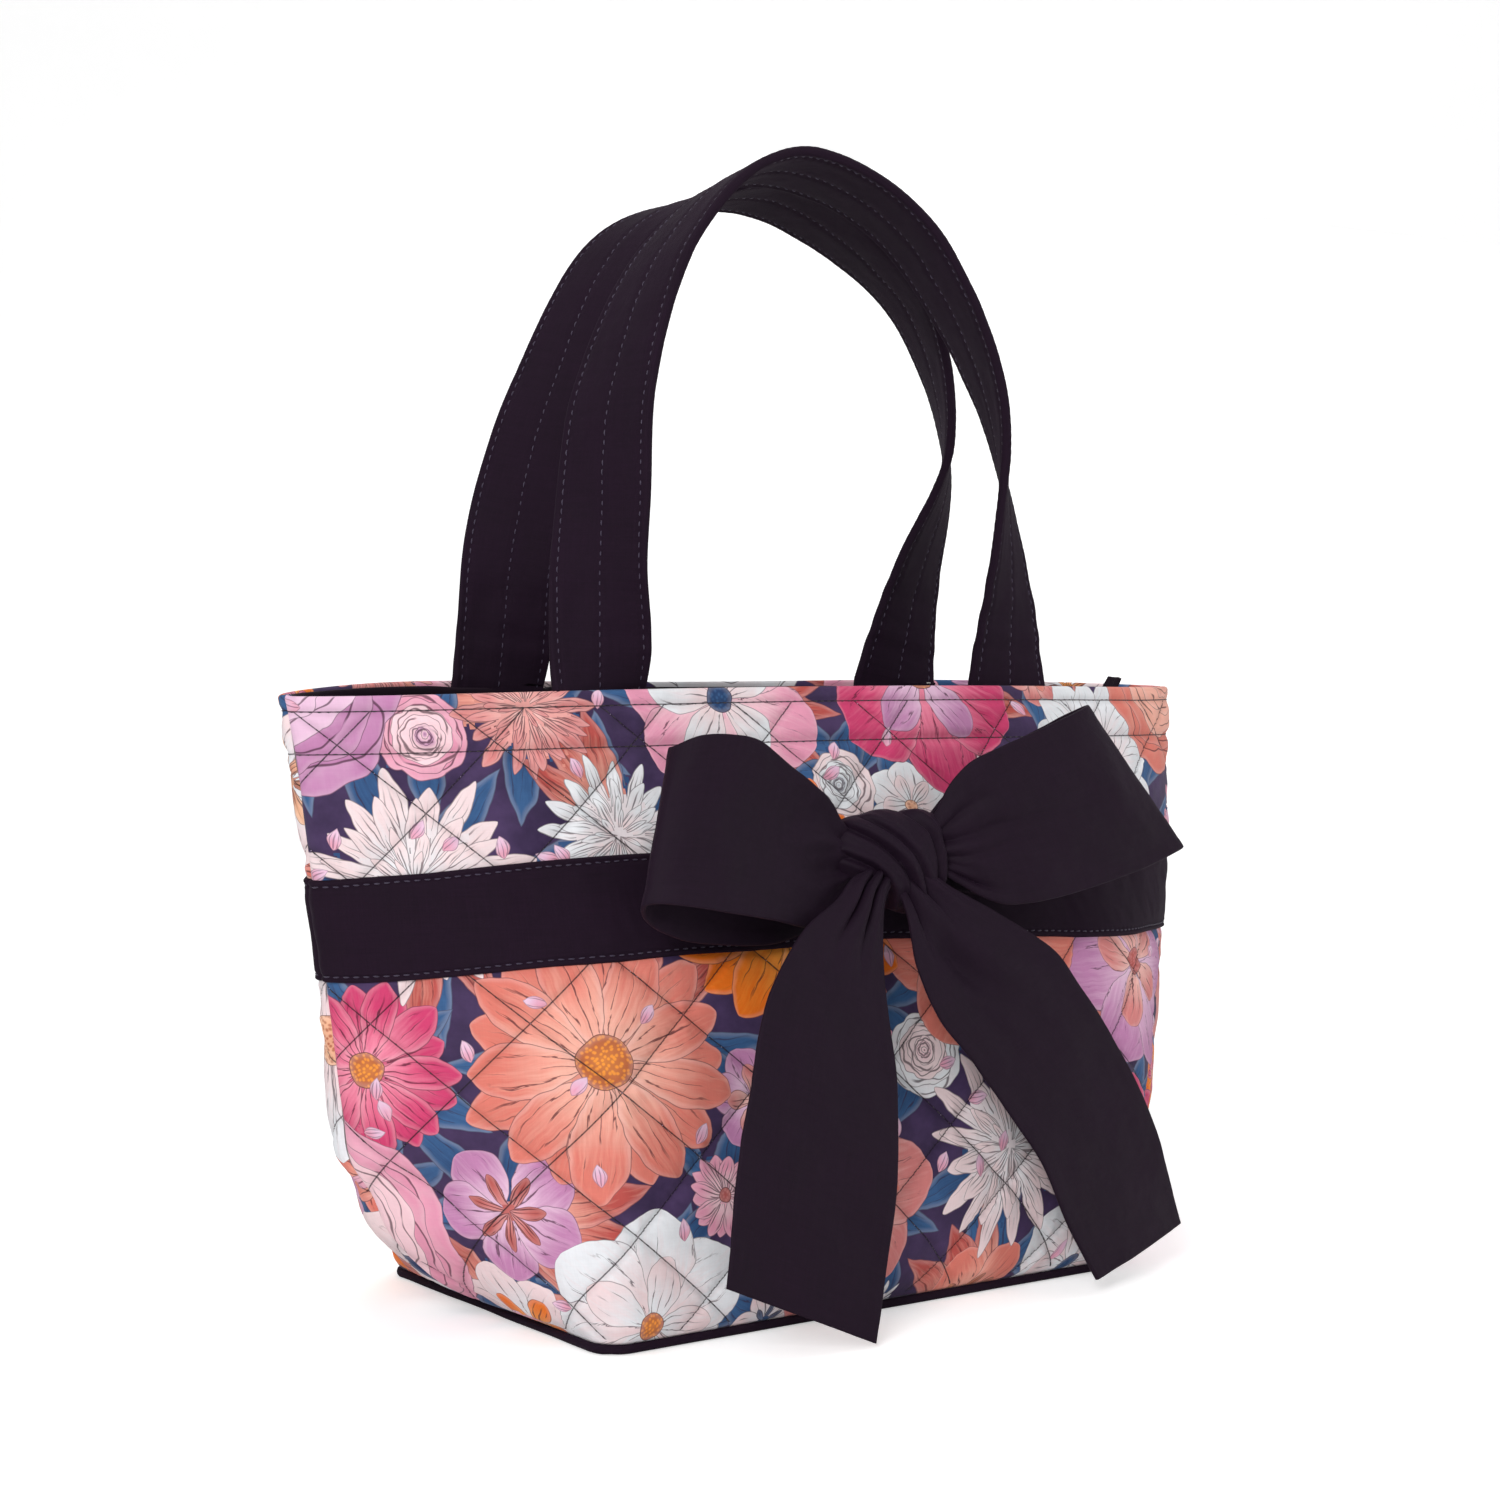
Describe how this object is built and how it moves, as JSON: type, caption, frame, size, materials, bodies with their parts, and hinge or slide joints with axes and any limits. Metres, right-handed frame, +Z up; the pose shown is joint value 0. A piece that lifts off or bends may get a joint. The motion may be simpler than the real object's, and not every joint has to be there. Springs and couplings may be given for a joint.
{
  "type": "knitting bag",
  "caption": "Quilted cloth tote with a flared boat-shaped body, looped strap handles, a contrast band, a ribbon bow and a recessed zip inside the mouth.",
  "frame": {"origin": "centre of the rectangular base, on the surface the bag stands on", "axes": "+Z up out of the mouth, -Y out of the front face that carries the bow, X along the length of the bag"},
  "size_m": [0.3933, 0.183, 0.4067],
  "materials": {
    "print": "quilted floral-printed cotton on a purple ground",
    "plum": "very dark plum plain-weave cotton with rows of mauve topstitching",
    "wadding": "white polyester wadding, hidden between the layers",
    "lining": "dark plum plain-weave cotton lining",
    "board": "stiffening board, matt",
    "tape": "woven zip tape, dark plum",
    "teeth": "moulded zip teeth, dark plum",
    "metal": "dark nickel-plated zip hardware"
  },
  "bodies": {
    "bag": {"back_band": "plum", "back_facing": "plum", "back_lining": "lining", "back_panel": "print", "back_wadding": "wadding", "base_board": "board", "base_lining": "lining", "base_panel": "plum", "bow_knot": "plum", "bow_loop_left": "plum", "bow_loop_right": "plum", "front_band": "plum", "front_facing": "plum", "front_lining": "lining", "front_panel": "print", "front_wadding": "wadding", "zip_bottom_stop": "metal", "zip_end_tab": "lining", "zip_panel_back": "lining", "zip_panel_front": "lining", "zip_tape_back": "tape", "zip_tape_front": "tape", "zip_teeth_back": "teeth", "zip_teeth_front": "teeth", "zip_top_stop_back": "metal", "zip_top_stop_front": "metal"},
    "front_handle": {"front_handle": "plum", "front_handle_core": "wadding"},
    "back_handle": {"back_handle": "plum", "back_handle_core": "wadding"},
    "zip_slider": {"zip_slider": "metal"},
    "zip_pull": {"zip_pull": "metal"},
    "bow_tail_left": {"bow_tail_left": "plum"},
    "bow_tail_right": {"bow_tail_right": "plum"}
  },
  "joints": [
    {"name": "front_handle_swing", "type": "hinge", "parent": "bag", "child": "front_handle", "pos_m": [0, -0.04286, 0.2169], "axis": [1, 0, 0], "range_deg": [0, 80]},
    {"name": "back_handle_swing", "type": "hinge", "parent": "bag", "child": "back_handle", "pos_m": [0, 0.03655, 0.2184], "axis": [-1, 0, 0], "range_deg": [0, 150]},
    {"name": "zip_slide", "type": "slide", "parent": "bag", "child": "zip_slider", "axis": [1, 0, 0], "range_m": [0, 0.203]},
    {"name": "zip_pull_flip", "type": "hinge", "parent": "zip_slider", "child": "zip_pull", "pos_m": [-0.112, -0.002, 0.1993], "axis": [0, 1, 0], "range_deg": [0, 170]},
    {"name": "bow_tail_left_swing", "type": "hinge", "parent": "bag", "child": "bow_tail_left", "pos_m": [-0.006, -0.07714, 0.135], "axis": [-1, 0, 0], "range_deg": [0, 50]},
    {"name": "bow_tail_right_swing", "type": "hinge", "parent": "bag", "child": "bow_tail_right", "pos_m": [0.016, -0.07714, 0.135], "axis": [-1, 0, 0], "range_deg": [0, 60]}
  ]
}
